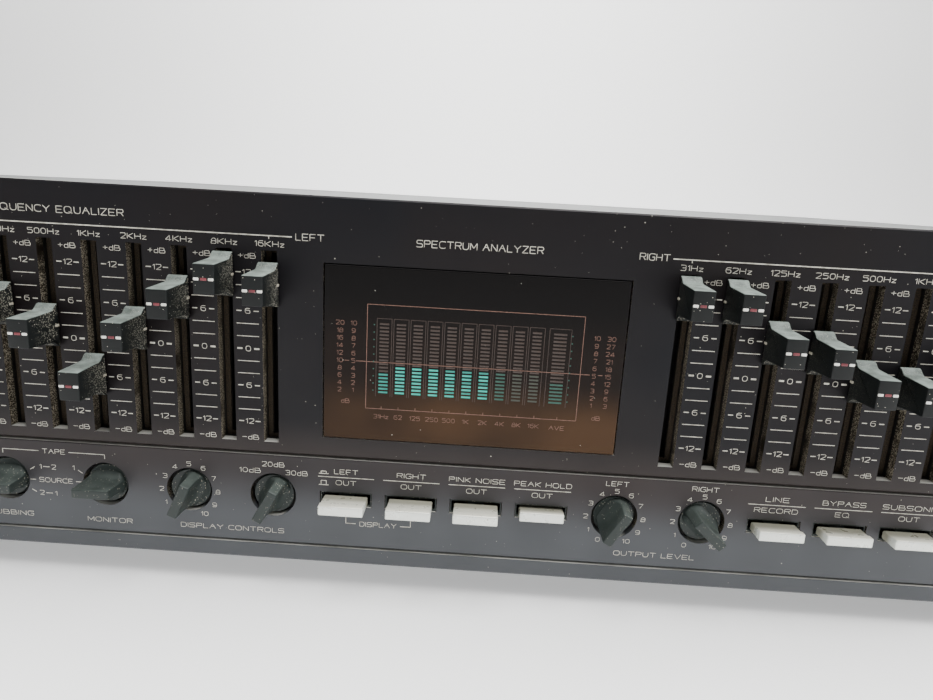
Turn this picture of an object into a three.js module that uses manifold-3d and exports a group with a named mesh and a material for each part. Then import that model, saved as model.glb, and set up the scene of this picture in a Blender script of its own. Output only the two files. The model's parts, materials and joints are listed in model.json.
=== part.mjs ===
// A ten-band stereo graphic equaliser with a spectrum display, built as its loose parts.
// Millimetres, +Z up.  The front looks along -Y, the floor is z = 0, and the origin is in the
// middle of the whole part's footprint.
import * as THREE from 'three';
import { mergeVertices } from 'three/addons/utils/BufferGeometryUtils.js';
import Module from 'manifold-3d';

const wasm = await Module();
wasm.setup();

// ---------------------------------------------------------------- driving dimensions
const WIDTH = 420;                  // front panel
const CASE_DEPTH = 260;             // face of the panel to the back of the rear panel
const FOOT_HEIGHT = 9;
const PANEL_HEIGHT = 113.6;
const PITCH = 13;                   // from one slider to the next
const BANDS = ['31hz', '62hz', '125hz', '250hz', '500hz', '1khz', '2khz', '4khz', '8khz', '16khz'];
const INNER_SLOT_X = 59.6;          // the slot of each bank that is nearest the middle
const SLOT_WIDTH = 4.5;
const SLOT_LENGTH = 57.8;
const SLOT_TOP_DROP = 16.1;         // from the panel's top edge to the slots
const TRAVEL = 22.5;                // of a slider, each way from 0 dB
const FULL_DB = 12;
const LEFT_DB = [11, 10, 7, 5, 2, -5.6, 2.3, 7.6, 11.6, 10.3];
const RIGHT_DB = [11.9, 11.8, 5.9, 4.8, 0.7, 0, 2.5, 6.5, 10.5, 9.5];
const UPPER_GROOVE_Z = 44.6;         // the two joints across the front
const LOWER_GROOVE_Z = 14.9;
const GROOVE = 0.4;
const CONTROL_Z = 31.3;             // row of knobs and buttons
const WINDOW_WIDTH = 88;
const WINDOW_TOP_DROP = 2.5;        // below the tops of the slots
const WINDOW_HEIGHT = 52.7;
const GAP = 0.3;                    // between neighbouring pieces
const SHEET = 1.2;                  // steel of the case
const OVERCUT = 1;                  // a cutter passes a face by this much

const KNOB_HOLE_RADIUS = 7.05;
const KNOB_RADIUS = 6.25;
const KNOB_SINK = 1.1;              // the disc's face lies this far behind the panel's face
const KNOB_HEIGHT = 8;              // the grip stands this far before the panel's face
// name, x, and the angle of the pointer, clockwise from straight up
const KNOBS = [
  ['knob_tape_dubbing', -143, 90],
  ['knob_tape_monitor', -111.8, -90],
  ['knob_display_level', -85.5, -156],
  ['knob_display_range', -59.3, -152],
  ['knob_output_left', 46.1, -150],
  ['knob_output_right', 72.7, 132],
];

const BUTTON_WIDTH = 13.4;
const BUTTON_THICKNESS = 3;
const BUTTON_HOLE_WIDTH = 16;
const BUTTON_HOLE_HEIGHT = 4.6;
const BUTTON_TRAVEL = 4.3;
// name, x, how far it stands before the panel when it is out, and whether it is latched in
const BUTTONS = [
  ['button_power', -176.6, 8.5, true],
  ['button_display_left', -36.7, 8.5, false],
  ['button_display_right', -16.6, 8.5, false],
  ['button_pink_noise', 3.5, 8.5, false],
  ['button_peak_hold', 23.6, 8.5, true],
  ['button_record', 94.6, 6.6, false],
  ['button_bypass', 114.6, 6.6, false],
  ['button_subsonic', 134.6, 6.6, false],
];

// ---------------------------------------------------------------- worked-out places
const PANEL_TOP = FOOT_HEIGHT + PANEL_HEIGHT;
const SLOT_TOP = PANEL_TOP - SLOT_TOP_DROP;
const SLOT_MIDDLE = SLOT_TOP - SLOT_LENGTH / 2;
const WINDOW_TOP = SLOT_TOP - WINDOW_TOP_DROP;
const WINDOW_BOTTOM = WINDOW_TOP - WINDOW_HEIGHT;
const WINDOW_MIDDLE = (WINDOW_TOP + WINDOW_BOTTOM) / 2;
const CAP_DEPTH = 14.6;             // cap's face to the panel's face
const JACK_REACH = 9;               // of the sockets behind the rear panel
// y of the panel's face, which puts the origin in the middle of the footprint
const FACE_Y = (CAP_DEPTH - CASE_DEPTH - JACK_REACH) / 2;

// depths behind the panel's face
const FASCIA_BACK = 3;
const SUBPANEL_FRONT = FASCIA_BACK + GAP;
const SUBPANEL_BACK = SUBPANEL_FRONT + SHEET;
const SEAL_FRONT = SUBPANEL_BACK + GAP;
const FELT = 0.8;
const SEAL_BACK = SEAL_FRONT + FELT;
const POT_FRONT = SEAL_BACK + 2 * GAP;
const POT_DEPTH = 8;
const POT_BACK = POT_FRONT + POT_DEPTH;
const CONTROL_BODY_FRONT = 9;
const CONTROL_BODY_BACK = 24;
const BOARD = 1.6;                  // thickness of a circuit board
const TUBE_HALF_WIDTH = 35;
const TUBE_HALF_HEIGHT = 19;
const TUBE_DEPTH = 6;
const SOLDERED = 0.1;               // a body sinks this far into its board
const LEVER_WIDTH = 1;
const LEVER_HEIGHT = 4.8;
const SHAFT_RADIUS = 3;
const SHAFT_REACH = 7;              // of a knob's shaft into its control
const PLUNGER_WIDTH = 5;
const PLUNGER_HEIGHT = 2;
const PLUNGER_REACH = 4;            // of a button's plunger into its switch

// the case
const COVER_HALF = WIDTH / 2 - 2;
const ROOF = PANEL_TOP - GAP;
const INNER_HALF = COVER_HALF - SHEET - GAP;
const TRAY_FRONT = 14.5;
const TRAY_FLOOR = FOOT_HEIGHT + SHEET;
const TRAY_WALL = 28;
const TRAY_SLITS = 6;
const TRAY_SLIT_X = -150;
const TRAY_SLIT_WIDTH = 4;
const TRAY_SLIT_PITCH = 12;
const ROOF_SLITS = 12;              // in each of the two fields
const ROOF_SLIT_X = 62;
const ROOF_SLIT_WIDTH = 3.2;
const ROOF_SLIT_PITCH = 10;
const SLIT_FRONT = 150;
const TRAY_SLIT_LENGTH = 60;
const ROOF_SLIT_LENGTH = 65;
const BOARD_POST = 6;               // the main board stands this far over the tray

// the back
const JACK_COLUMNS = 6;
const JACK_SPACING = 16;
const JACK_ROWS = [52, 68];
const JACK_X = 100;                 // middle of the block, seen from the front
const JACK_RADIUS = 4.15;
const JACK_BORE = 1.7;
const JACK_BLOCK = 9;               // depth of the moulding inside the panel
const INLET_X = -170;
const INLET_Z = 34;
const INLET_HALF_WIDTH = 10.5;
const INLET_HALF_HEIGHT = 6.5;
const PIN_X = 4.3;
const PIN_RADIUS = 1.2;

// name, x and depth behind the panel's face
const FEET = [
  ['foot_front_left', -165, 32],
  ['foot_front_right', 165, 32],
  ['foot_rear_left', -165, 225],
  ['foot_rear_right', 165, 225],
];
const CAPACITORS = [['capacitor_left', -80], ['capacitor_right', -56]];
const CAPACITOR_DEPTH = 200;
const CAPACITOR_RADIUS = 9;
const CAPACITOR_HEIGHT = 30;
const TRANSFORMER_X = -158;
const TRANSFORMER_DEPTH = 180;

// ---------------------------------------------------------------- helpers
// A closed three.js geometry as a solid that can be joined and cut.
function solid(geometry) {
  const bare = geometry.clone();
  bare.deleteAttribute('normal');
  bare.deleteAttribute('uv');
  const merged = mergeVertices(bare, 1e-4);
  return new wasm.Manifold(new wasm.Mesh({
    numProp: 3,
    vertProperties: new Float32Array(merged.attributes.position.array),
    triVerts: new Uint32Array(merged.index.array),
  }));
}

function geometryOf(manifold) {
  const cut = manifold.getMesh();
  const geometry = new THREE.BufferGeometry();
  geometry.setAttribute('position', new THREE.BufferAttribute(new Float32Array(cut.vertProperties), 3));
  geometry.setIndex(new THREE.BufferAttribute(new Uint32Array(cut.triVerts), 1));
  geometry.computeVertexNormals();
  return geometry;
}

function box(x0, x1, y0, y1, z0, z1) {
  const geometry = new THREE.BoxGeometry(x1 - x0, y1 - y0, z1 - z0);
  geometry.translate((x0 + x1) / 2, (y0 + y1) / 2, (z0 + z1) / 2);
  return solid(geometry);
}

// A round bar along Y.
function barY(x, z, radius, y0, y1, sides = 24) {
  const geometry = new THREE.CylinderGeometry(radius, radius, y1 - y0, sides);
  geometry.translate(x, (y0 + y1) / 2, z);
  return solid(geometry);
}

// A round bar along Z.
function barZ(x, y, radius, z0, z1, sides = 32) {
  const geometry = new THREE.CylinderGeometry(radius, radius, z1 - z0, sides);
  geometry.rotateX(Math.PI / 2);
  geometry.translate(x, y, (z0 + z1) / 2);
  return solid(geometry);
}

// An outline of [y, z] points carried along X.
function alongX(points, x0, x1) {
  const shape = new THREE.Shape(points.map(([y, z]) => new THREE.Vector2(y, z)));
  const geometry = new THREE.ExtrudeGeometry(shape, { depth: x1 - x0, bevelEnabled: false });
  const turn = new THREE.Matrix4().makeBasis(
    new THREE.Vector3(0, 1, 0), new THREE.Vector3(0, 0, 1), new THREE.Vector3(1, 0, 0));
  geometry.applyMatrix4(turn);
  geometry.translate(x0, 0, 0);
  return solid(geometry);
}

function cutAll(body, cutters) {
  return cutters.reduce((left, cutter) => left.subtract(cutter), body);
}

function joinAll(pieces) {
  return pieces.reduce((left, piece) => left.add(piece));
}

// A box around x and z, given by its half width and half height.
function blockAt(x, z, halfWidth, halfHeight, y0, y1) {
  return box(x - halfWidth, x + halfWidth, y0, y1, z - halfHeight, z + halfHeight);
}

const MATERIALS = {
  fascia: { color: 0x2a282c, roughness: 0.42, metalness: 0.5 },
  strip: { color: 0x4a4b51, roughness: 0.4, metalness: 0.5 },
  cap: { color: 0x22262a, roughness: 0.55, metalness: 0 },
  button: { color: 0xd8d6cc, roughness: 0.35, metalness: 0.2 },
  window: { color: 0x1d1a18, roughness: 0.05, metalness: 0 },
  glass: { color: 0x33302c, roughness: 0.1, metalness: 0 },
  board: { color: 0x6b5a34, roughness: 0.6, metalness: 0 },
  steel: { color: 0x9a9c9e, roughness: 0.4, metalness: 0.9 },
  paint: { color: 0x38393c, roughness: 0.6, metalness: 0.1 },
  felt: { color: 0x2a2216, roughness: 0.95, metalness: 0 },
  rubber: { color: 0x1c1c1c, roughness: 0.8, metalness: 0 },
  core: { color: 0x4a4038, roughness: 0.6, metalness: 0.4 },
};

function mesh(name, manifold, finish, x = 0, y = 0, z = 0) {
  const piece = new THREE.Mesh(geometryOf(manifold), new THREE.MeshStandardMaterial(MATERIALS[finish]));
  piece.name = name;
  piece.position.set(x, y, z);
  return piece;
}

// ---------------------------------------------------------------- places of the sliders
function bank(side) {
  const step = side === 'left' ? -1 : 1;
  const settings = side === 'left' ? LEFT_DB : RIGHT_DB;
  return BANDS.map((band, i) => ({
    name: `slider_${side}_${band}`,
    x: step * INNER_SLOT_X + (side === 'left' ? i - (BANDS.length - 1) : i) * PITCH,
    z: SLOT_MIDDLE + TRAVEL * settings[i] / FULL_DB,
  }));
}
const SLIDERS = [...bank('left'), ...bank('right')];

// Width of a bank from its first slot to its last, with a rim on both sides.
function bankBox(side, rim, halfHeight, y0, y1) {
  const places = bank(side);
  const middle = (places[0].x + places[places.length - 1].x) / 2;
  const halfWidth = PITCH * (places.length - 1) / 2 + rim;
  return blockAt(middle, SLOT_MIDDLE, halfWidth, halfHeight, y0, y1);
}

// ---------------------------------------------------------------- front panel pieces
// Outline of a front piece in [y, z], with its two front edges bevelled.
function bevelledStrip(bottom, top, bevelBottom, bevelTop) {
  return alongX([
    [bevelBottom, bottom],
    [FASCIA_BACK, bottom],
    [FASCIA_BACK, top],
    [bevelTop, top],
    [0, top - bevelTop],
    [0, bottom + bevelBottom],
  ], -WIDTH / 2, WIDTH / 2);
}

function slotCutter(x, width, length, y0, y1) {
  return blockAt(x, SLOT_MIDDLE, width / 2, length / 2, y0, y1);
}

function upperFascia() {
  const y1 = FASCIA_BACK + OVERCUT;
  const slots = SLIDERS.map(({ x }) => slotCutter(x, SLOT_WIDTH, SLOT_LENGTH, -OVERCUT, y1));
  const opening = blockAt(0, WINDOW_MIDDLE, WINDOW_WIDTH / 2, WINDOW_HEIGHT / 2, -OVERCUT, y1);
  const plate = bevelledStrip(UPPER_GROOVE_Z + GROOVE / 2, PANEL_TOP, 0.9, 0.5);
  return cutAll(plate, [...slots, opening]);
}

function lowerFascia() {
  const y1 = FASCIA_BACK + OVERCUT;
  const holes = KNOBS.map(([, x]) => barY(x, CONTROL_Z, KNOB_HOLE_RADIUS, -OVERCUT, y1, 32));
  const windows = BUTTONS.map(([, x]) => blockAt(
    x, CONTROL_Z, BUTTON_HOLE_WIDTH / 2, BUTTON_HOLE_HEIGHT / 2, -OVERCUT, y1));
  const plate = bevelledStrip(LOWER_GROOVE_Z + GROOVE / 2, UPPER_GROOVE_Z - GROOVE / 2, 0.6, 0.3);
  return cutAll(plate, [...holes, ...windows]);
}

// The rail below the lower joint, with a lip turned back under the case.
function bottomRail() {
  const top = LOWER_GROOVE_Z - GROOVE / 2;
  const lip = 14;
  const lipTop = FOOT_HEIGHT + 1.5;
  const bevelBottom = 0.8;
  const bevelTop = 0.3;
  return alongX([
    [bevelBottom, FOOT_HEIGHT],
    [lip, FOOT_HEIGHT],
    [lip, lipTop],
    [FASCIA_BACK, lipTop],
    [FASCIA_BACK, top],
    [bevelTop, top],
    [0, top - bevelTop],
    [0, FOOT_HEIGHT + bevelBottom],
  ], -WIDTH / 2, WIDTH / 2);
}

// Smoked plate that fills the opening and stands a hair before the panel.
function displayWindow() {
  const proud = 0.25;
  const back = FASCIA_BACK - 0.2;
  return blockAt(0, WINDOW_MIDDLE, WINDOW_WIDTH / 2 - GAP, WINDOW_HEIGHT / 2 - GAP, -proud, back);
}

// Steel plate behind the fascias, which carries them, the sliders and the controls.
function frontSubpanel() {
  const half = WIDTH / 2 - 4;
  const bottomRim = 3.5;
  const topRim = 3;
  const plate = box(-half, half, SUBPANEL_FRONT, SUBPANEL_BACK, FOOT_HEIGHT + bottomRim, PANEL_TOP - topRim);
  const y0 = SUBPANEL_FRONT - OVERCUT;
  const y1 = SUBPANEL_BACK + OVERCUT;
  const slots = SLIDERS.map(({ x }) => slotCutter(x, SLOT_WIDTH, SLOT_LENGTH, y0, y1));
  const opening = blockAt(0, WINDOW_MIDDLE, TUBE_HALF_WIDTH + 2, TUBE_HALF_HEIGHT + 1, y0, y1);
  const shafts = KNOBS.map(([, x]) => barY(x, CONTROL_Z, SHAFT_RADIUS + 1, y0, y1, 12));
  const plungers = BUTTONS.map(([, x]) => blockAt(
    x, CONTROL_Z, BUTTON_WIDTH / 2 + 0.7, BUTTON_THICKNESS / 2 + 0.7, y0, y1));
  return cutAll(plate, [...slots, opening, ...shafts, ...plungers]);
}

// Felt strip behind one bank, slit for the levers.
function dustSeal(side) {
  const rim = 5;
  const slit = LEVER_WIDTH + 0.8;
  const felt = bankBox(side, rim, SLOT_LENGTH / 2 + 3, SEAL_FRONT, SEAL_BACK);
  return cutAll(felt, bank(side).map(({ x }) => slotCutter(
    x, slit, SLOT_LENGTH - 2, SEAL_FRONT - OVERCUT, SEAL_BACK + OVERCUT)));
}

// Ten slide potentiometers on their board: channels with an open front, for the wipers.
function sliderBank(side) {
  const places = bank(side);
  const rim = 6;
  const canWall = 0.8;
  const canWidth = 8.4;
  const canLength = 66;
  const board = bankBox(side, rim, canLength / 2 + 3, POT_BACK - SOLDERED, POT_BACK + BOARD);
  const cans = places.map(({ x }) => slotCutter(x, canWidth, canLength, POT_FRONT, POT_BACK));
  const tracks = places.map(({ x }) => slotCutter(
    x, canWidth - 2, canLength - 4, POT_FRONT + canWall, POT_BACK - canWall));
  const mouths = places.map(({ x }) => slotCutter(
    x, 2 * LEVER_WIDTH, SLOT_LENGTH, POT_FRONT - OVERCUT, POT_FRONT + OVERCUT));
  return cutAll(joinAll([board, ...cans]), [...tracks, ...mouths]);
}

// ---------------------------------------------------------------- pieces that move
// Cap, lever and wiper of one slider, around the middle of the cap at the panel's face.
// The cap is a block that flares into a taller foot near the panel.
function sliderGeometry() {
  const halfWidth = 2.9;
  const front = 4.2;                // half heights
  const waist = 4.6;
  const flare = 5.9;
  const base = 6.4;
  const waistDepth = 3.1;           // before the panel's face
  const flareDepth = 1.5;
  const clear = 0.8;
  const cap = alongX([
    [-CAP_DEPTH, -front],
    [-waistDepth, -waist],
    [-flareDepth, -flare],
    [-clear, -base],
    [-clear, base],
    [-flareDepth, flare],
    [-waistDepth, waist],
    [-CAP_DEPTH, front],
  ], -halfWidth, halfWidth);
  const wiperGap = 1.4;
  const lever = blockAt(0, 0, LEVER_WIDTH / 2, LEVER_HEIGHT / 2, -clear - 1, POT_FRONT + 2.6);
  const wiper = blockAt(0, 0, 2.7, 3.5, POT_FRONT + wiperGap, POT_BACK - wiperGap);
  return joinAll([cap, lever, wiper]);
}

// Disc with a straight grip across it, and its shaft.  The pointer's end is +Z.
function knobGeometry() {
  const disc = barY(0, 0, KNOB_RADIUS, KNOB_SINK, FASCIA_BACK, 32);
  const tip = KNOB_RADIUS + 0.05;
  const tail = -4.9;
  const root = KNOB_SINK + 0.5;     // the grip goes this deep into the disc
  const half = 1.5;                 // of the grip's thickness
  const rootHalf = half + 1.1;
  const side = alongX([
    [-KNOB_HEIGHT, tail],
    [root, tail - 1],
    [root, tip - 0.2],
    [-KNOB_HEIGHT, tip],
  ], -rootHalf, rootHalf);
  // half of the section, from the grip's front to its root: [x, y]
  const flank = [
    [half, -KNOB_HEIGHT],
    [half + 0.1, KNOB_SINK - 1.2],
    [half + 0.4, KNOB_SINK - 0.4],
    [rootHalf, KNOB_SINK],
    [rootHalf, root],
  ];
  const mirrored = flank.map(([x, y]) => [-x, y]).reverse();
  const section = new THREE.Shape([...flank, ...mirrored].map(([x, y]) => new THREE.Vector2(x, y)));
  const length = 2 * (KNOB_RADIUS + OVERCUT);
  const blade = new THREE.ExtrudeGeometry(section, { depth: length, bevelEnabled: false });
  blade.translate(0, 0, -length / 2);
  const shaft = barY(0, 0, SHAFT_RADIUS, FASCIA_BACK - 0.5, CONTROL_BODY_FRONT + SHAFT_REACH, 12);
  return joinAll([disc, side.intersect(solid(blade)), shaft]);
}

// Cap of a push button with its plunger, around the panel's face. The cap stands out by `out`.
function buttonGeometry(out) {
  const half = BUTTON_THICKNESS / 2;
  const back = 0.2;
  const chamfer = 0.3;
  const cap = alongX([
    [-out, -half],
    [back, -half],
    [back, half - 0.5],
    [-out * 0.55, half - 0.35],
    [-out + chamfer, half],
    [-out, half - chamfer],
  ], -BUTTON_WIDTH / 2, BUTTON_WIDTH / 2);
  const plunger = blockAt(0, 0, PLUNGER_WIDTH / 2, PLUNGER_HEIGHT / 2, 0, CONTROL_BODY_FRONT + PLUNGER_REACH);
  return joinAll([cap, plunger]);
}

// ---------------------------------------------------------------- inside the case
// Rotary controls and push switches on one upright board.
function controlBoard() {
  const y0 = CONTROL_BODY_FRONT;
  const y1 = CONTROL_BODY_BACK;
  const half = WIDTH / 2 - 16;
  const clear = 0.5;                // round a shaft or a plunger
  const boreDepth = SHAFT_REACH + 2;
  const pocketDepth = PLUNGER_REACH + BUTTON_TRAVEL + 1.7;
  const board = box(-half, half, y1 - SOLDERED, y1 + BOARD, FOOT_HEIGHT + 6, UPPER_GROOVE_Z - 3);
  const pots = KNOBS.map(([, x]) => blockAt(x, CONTROL_Z, 7.5, 8, y0, y1));
  const switches = BUTTONS.map(([, x]) => blockAt(x, CONTROL_Z, 5, 4, y0, y1));
  const bores = KNOBS.map(([, x]) => barY(
    x, CONTROL_Z, SHAFT_RADIUS + clear, y0 - OVERCUT, y0 + boreDepth, 12));
  const pockets = BUTTONS.map(([, x]) => blockAt(
    x, CONTROL_Z, PLUNGER_WIDTH / 2 + clear, PLUNGER_HEIGHT / 2 + clear, y0 - OVERCUT, y0 + pocketDepth));
  return cutAll(joinAll([board, ...pots, ...switches]), [...bores, ...pockets]);
}

function displayTube() {
  const y0 = SUBPANEL_FRONT;
  return blockAt(0, WINDOW_MIDDLE, TUBE_HALF_WIDTH, TUBE_HALF_HEIGHT, y0, y0 + TUBE_DEPTH);
}

function displayBoard() {
  const y0 = SUBPANEL_FRONT + TUBE_DEPTH + GAP;
  const rim = 7;
  return blockAt(0, WINDOW_MIDDLE, TUBE_HALF_WIDTH + rim + 1, TUBE_HALF_HEIGHT + rim, y0, y0 + BOARD);
}

// Floor and low side walls, in one folded sheet, with slits for air under the transformer.
function chassisTray() {
  const y1 = CASE_DEPTH - SHEET - GAP;
  const wall = TRAY_FLOOR + TRAY_WALL;
  const shell = joinAll([
    box(-INNER_HALF, INNER_HALF, TRAY_FRONT, y1, FOOT_HEIGHT, TRAY_FLOOR),
    box(-INNER_HALF, -INNER_HALF + SHEET, TRAY_FRONT, y1, FOOT_HEIGHT, wall),
    box(INNER_HALF - SHEET, INNER_HALF, TRAY_FRONT, y1, FOOT_HEIGHT, wall),
  ]);
  const slits = [];
  for (let i = 0; i < TRAY_SLITS; i += 1) {
    const x = TRAY_SLIT_X + i * TRAY_SLIT_PITCH;
    slits.push(box(x, x + TRAY_SLIT_WIDTH, SLIT_FRONT, SLIT_FRONT + TRAY_SLIT_LENGTH,
      FOOT_HEIGHT - OVERCUT, TRAY_FLOOR + OVERCUT));
  }
  return cutAll(shell, slits);
}

// Top and sides, in one folded sheet, with two fields of slits over the warm parts.
function topCover() {
  const y0 = FASCIA_BACK + GAP;
  const skirt = FOOT_HEIGHT + 2.5;
  const inner = COVER_HALF - SHEET;
  const shell = box(-COVER_HALF, COVER_HALF, y0, CASE_DEPTH, skirt, ROOF).subtract(
    box(-inner, inner, y0 - OVERCUT, CASE_DEPTH + OVERCUT, skirt - OVERCUT, ROOF - SHEET));
  const slits = [];
  for (const side of [-1, 1]) {
    for (let i = 0; i < ROOF_SLITS; i += 1) {
      const x = side * (ROOF_SLIT_X + i * ROOF_SLIT_PITCH);
      slits.push(box(x - ROOF_SLIT_WIDTH / 2, x + ROOF_SLIT_WIDTH / 2,
        SLIT_FRONT, SLIT_FRONT + ROOF_SLIT_LENGTH, ROOF - SHEET - OVERCUT, ROOF + OVERCUT));
    }
  }
  return cutAll(shell, slits);
}

function jackPlaces() {
  const places = [];
  for (const z of JACK_ROWS) {
    for (let i = 0; i < JACK_COLUMNS; i += 1) {
      places.push([JACK_X + (i - (JACK_COLUMNS - 1) / 2) * JACK_SPACING, z]);
    }
  }
  return places;
}

function rearPanel() {
  const clear = 0.5;                // round the sockets and the inlet
  const front = CASE_DEPTH - SHEET;
  const y0 = front - OVERCUT;
  const y1 = CASE_DEPTH + OVERCUT;
  const plate = box(-INNER_HALF, INNER_HALF, front, CASE_DEPTH, FOOT_HEIGHT, ROOF - SHEET - GAP);
  const holes = jackPlaces().map(([x, z]) => barY(x, z, JACK_RADIUS + clear, y0, y1, 12));
  const inlet = blockAt(INLET_X, INLET_Z, INLET_HALF_WIDTH + clear, INLET_HALF_HEIGHT + clear, y0, y1);
  return cutAll(plate, [...holes, inlet]);
}

// Twelve phono sockets in one moulded block.
function jackBlock() {
  const y1 = CASE_DEPTH - SHEET - GAP;
  const end = CASE_DEPTH + JACK_REACH;
  const half = JACK_SPACING * JACK_COLUMNS / 2 + 2;
  const rim = 9;
  const boreDepth = 6;              // into the block
  const block = box(JACK_X - half, JACK_X + half, y1 - JACK_BLOCK, y1,
    JACK_ROWS[0] - rim, JACK_ROWS[1] + rim);
  const barrels = jackPlaces().map(([x, z]) => barY(x, z, JACK_RADIUS, y1 - 1, end, 12));
  const bores = jackPlaces().map(([x, z]) => barY(x, z, JACK_BORE, y1 - boreDepth, end + OVERCUT, 8));
  return cutAll(joinAll([block, ...barrels]), bores);
}

// Two-pin mains inlet: a moulded cup with a flange, and the pins standing in it.
function mainsInlet() {
  const back = CASE_DEPTH + 2;
  const front = CASE_DEPTH - 14;
  const wall = 2;
  const flangeRim = 3.5;
  const halfHollow = 4;             // the hollow is two round ends, this far from its middle
  const hollowRadius = 4.2;
  const y0 = front + wall;
  const y1 = back + OVERCUT;
  const flange = blockAt(INLET_X, INLET_Z, INLET_HALF_WIDTH + flangeRim, INLET_HALF_HEIGHT + flangeRim - 0.5,
    CASE_DEPTH + GAP, back);
  const cup = blockAt(INLET_X, INLET_Z, INLET_HALF_WIDTH, INLET_HALF_HEIGHT, front, back - 0.5);
  const hollow = joinAll([
    barY(INLET_X - halfHollow, INLET_Z, hollowRadius, y0, y1, 20),
    barY(INLET_X + halfHollow, INLET_Z, hollowRadius, y0, y1, 20),
    blockAt(INLET_X, INLET_Z, halfHollow, hollowRadius, y0, y1),
  ]);
  const pins = [-PIN_X, PIN_X].map((x) => barY(INLET_X + x, INLET_Z, PIN_RADIUS, front + 1, back - 3, 12));
  return joinAll([joinAll([flange, cup]).subtract(hollow), ...pins]);
}

function mainBoard() {
  const z0 = TRAY_FLOOR + BOARD_POST;
  return box(-105, 195, 60, 235, z0, z0 + BOARD);
}

// Laminated core with its bobbin and feet.
function powerTransformer() {
  const x = TRANSFORMER_X;
  const y = TRANSFORMER_DEPTH;
  const z0 = TRAY_FLOOR + GAP;
  const core = box(x - 27, x + 27, y - 13, y + 13, z0 + 1, z0 + 46);
  const bobbin = box(x - 18, x + 18, y - 22, y + 22, z0 + 9, z0 + 38);
  const feet = box(x - 38, x + 38, y - 15, y + 15, z0, z0 + 2);
  return joinAll([core, bobbin, feet]);
}

function capacitorCan() {
  const z0 = TRAY_FLOOR + BOARD_POST + BOARD + GAP;
  return barZ(0, 0, CAPACITOR_RADIUS, z0, z0 + CAPACITOR_HEIGHT, 20);
}

// Turned foot with a hollow for its screw.
function foot() {
  const top = FOOT_HEIGHT - GAP;
  // radius and height
  const profile = [[0, 3], [3.5, 3], [3.5, 0], [11, 0], [12.4, top], [0, top]];
  const geometry = new THREE.LatheGeometry(profile.map(([r, z]) => new THREE.Vector2(r, z)), 20);
  geometry.rotateX(Math.PI / 2);
  return solid(geometry);
}

// ---------------------------------------------------------------- the assembly
const equaliser = new THREE.Group();
const front = new THREE.Group();     // everything measured from the panel's face
front.position.set(0, FACE_Y, 0);
equaliser.add(front);

front.add(
  mesh('upper_fascia', upperFascia(), 'fascia'),
  mesh('lower_fascia', lowerFascia(), 'strip'),
  mesh('bottom_rail', bottomRail(), 'fascia'),
  mesh('display_window', displayWindow(), 'window'),
  mesh('display_tube', displayTube(), 'glass'),
  mesh('display_board', displayBoard(), 'board'),
  mesh('front_subpanel', frontSubpanel(), 'steel'),
  mesh('dust_seal_left', dustSeal('left'), 'felt'),
  mesh('dust_seal_right', dustSeal('right'), 'felt'),
  mesh('slider_bank_left', sliderBank('left'), 'steel'),
  mesh('slider_bank_right', sliderBank('right'), 'steel'),
  mesh('control_board', controlBoard(), 'board'),
  mesh('chassis_tray', chassisTray(), 'steel'),
  mesh('top_cover', topCover(), 'paint'),
  mesh('rear_panel', rearPanel(), 'paint'),
  mesh('jack_block', jackBlock(), 'cap'),
  mesh('mains_inlet', mainsInlet(), 'cap'),
  mesh('main_board', mainBoard(), 'board'),
  mesh('power_transformer', powerTransformer(), 'core'),
);

const canShape = capacitorCan();
for (const [name, x] of CAPACITORS) {
  front.add(mesh(name, canShape, 'cap', x, CAPACITOR_DEPTH, 0));
}

const sliderShape = sliderGeometry();
for (const { name, x, z } of SLIDERS) {
  front.add(mesh(name, sliderShape, 'cap', x, 0, z));
}

const knobShape = knobGeometry();
for (const [name, x, angle] of KNOBS) {
  const knob = mesh(name, knobShape, 'cap', x, 0, CONTROL_Z);
  knob.rotation.y = THREE.MathUtils.degToRad(angle);
  front.add(knob);
}

for (const [name, x, out, latched] of BUTTONS) {
  front.add(mesh(name, buttonGeometry(out), 'button', x, latched ? BUTTON_TRAVEL : 0, CONTROL_Z));
}

const footShape = foot();
for (const [name, x, y] of FEET) {
  front.add(mesh(name, footShape, 'rubber', x, y, 0));
}

export default equaliser;
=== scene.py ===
# %% [markdown]
# # A graphic equalizer, piece by piece
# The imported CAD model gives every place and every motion. This lesson adds what the eye reads: moulded
# caps and knobs, printed scales, a lit display behind smoked acrylic, and dust. Each step says what the
# piece is on the real object, how it could be made, and why this way was chosen.

# %% Load the frame
import json
import math
import bmesh
import bpy
import numpy as np
from mathutils import Matrix, Vector


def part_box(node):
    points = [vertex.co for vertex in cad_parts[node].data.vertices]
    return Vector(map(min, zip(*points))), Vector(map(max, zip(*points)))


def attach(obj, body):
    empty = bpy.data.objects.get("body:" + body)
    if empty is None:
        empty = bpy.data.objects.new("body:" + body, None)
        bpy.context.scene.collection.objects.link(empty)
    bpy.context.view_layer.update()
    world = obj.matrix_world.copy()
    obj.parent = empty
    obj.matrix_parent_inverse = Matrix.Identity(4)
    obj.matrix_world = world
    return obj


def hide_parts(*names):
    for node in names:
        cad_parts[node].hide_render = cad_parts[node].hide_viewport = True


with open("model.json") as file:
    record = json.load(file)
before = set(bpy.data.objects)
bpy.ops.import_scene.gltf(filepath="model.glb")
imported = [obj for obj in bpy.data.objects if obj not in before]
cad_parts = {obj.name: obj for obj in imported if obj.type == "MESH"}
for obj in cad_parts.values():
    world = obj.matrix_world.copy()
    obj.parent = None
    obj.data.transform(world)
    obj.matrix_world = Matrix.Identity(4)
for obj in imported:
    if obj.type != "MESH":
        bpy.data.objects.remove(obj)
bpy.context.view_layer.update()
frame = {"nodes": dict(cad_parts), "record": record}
MM = 0.001
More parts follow.
